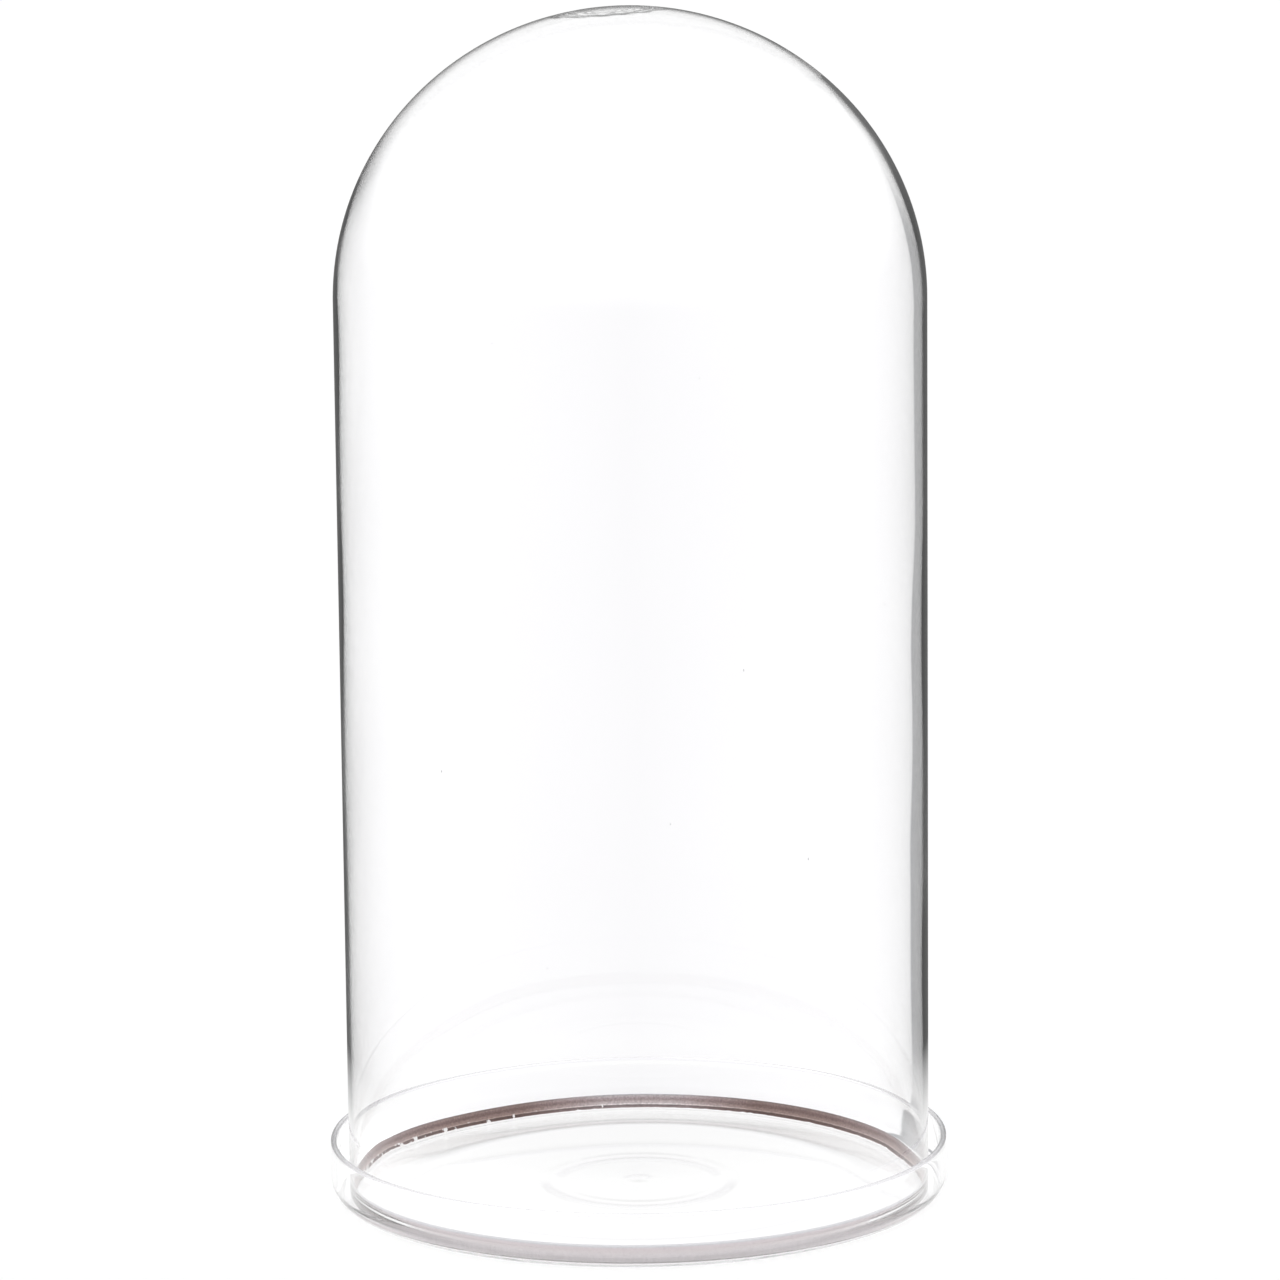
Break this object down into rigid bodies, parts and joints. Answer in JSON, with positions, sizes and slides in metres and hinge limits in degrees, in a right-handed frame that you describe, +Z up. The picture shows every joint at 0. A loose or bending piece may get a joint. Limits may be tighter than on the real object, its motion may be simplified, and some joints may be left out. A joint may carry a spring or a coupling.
{
  "type": "glass cloche",
  "caption": "Tall clear glass dome with a rounded top and ground rim, lifting straight off the shallow rimmed glass dish it stands in.",
  "frame": {"origin": "centre of the underside of the dish's foot, on the axis that the dish and the dome share", "axes": "+Z up along the common axis; X and Y are interchangeable, because both pieces are turned shapes"},
  "size_m": [0.2124, 0.2124, 0.4065],
  "materials": {
    "dish_glass": "clear, fire-polished lip",
    "dome_glass": "clear, with a ground lower edge"
  },
  "bodies": {
    "dish": {"glass_dish": "dish_glass"},
    "dome": {"glass_dome": "dome_glass"}
  },
  "joints": [
    {"name": "dome_lift", "type": "slide", "parent": "dish", "child": "dome", "axis": [0, 0, 1], "range_m": [0, 0.4]}
  ]
}
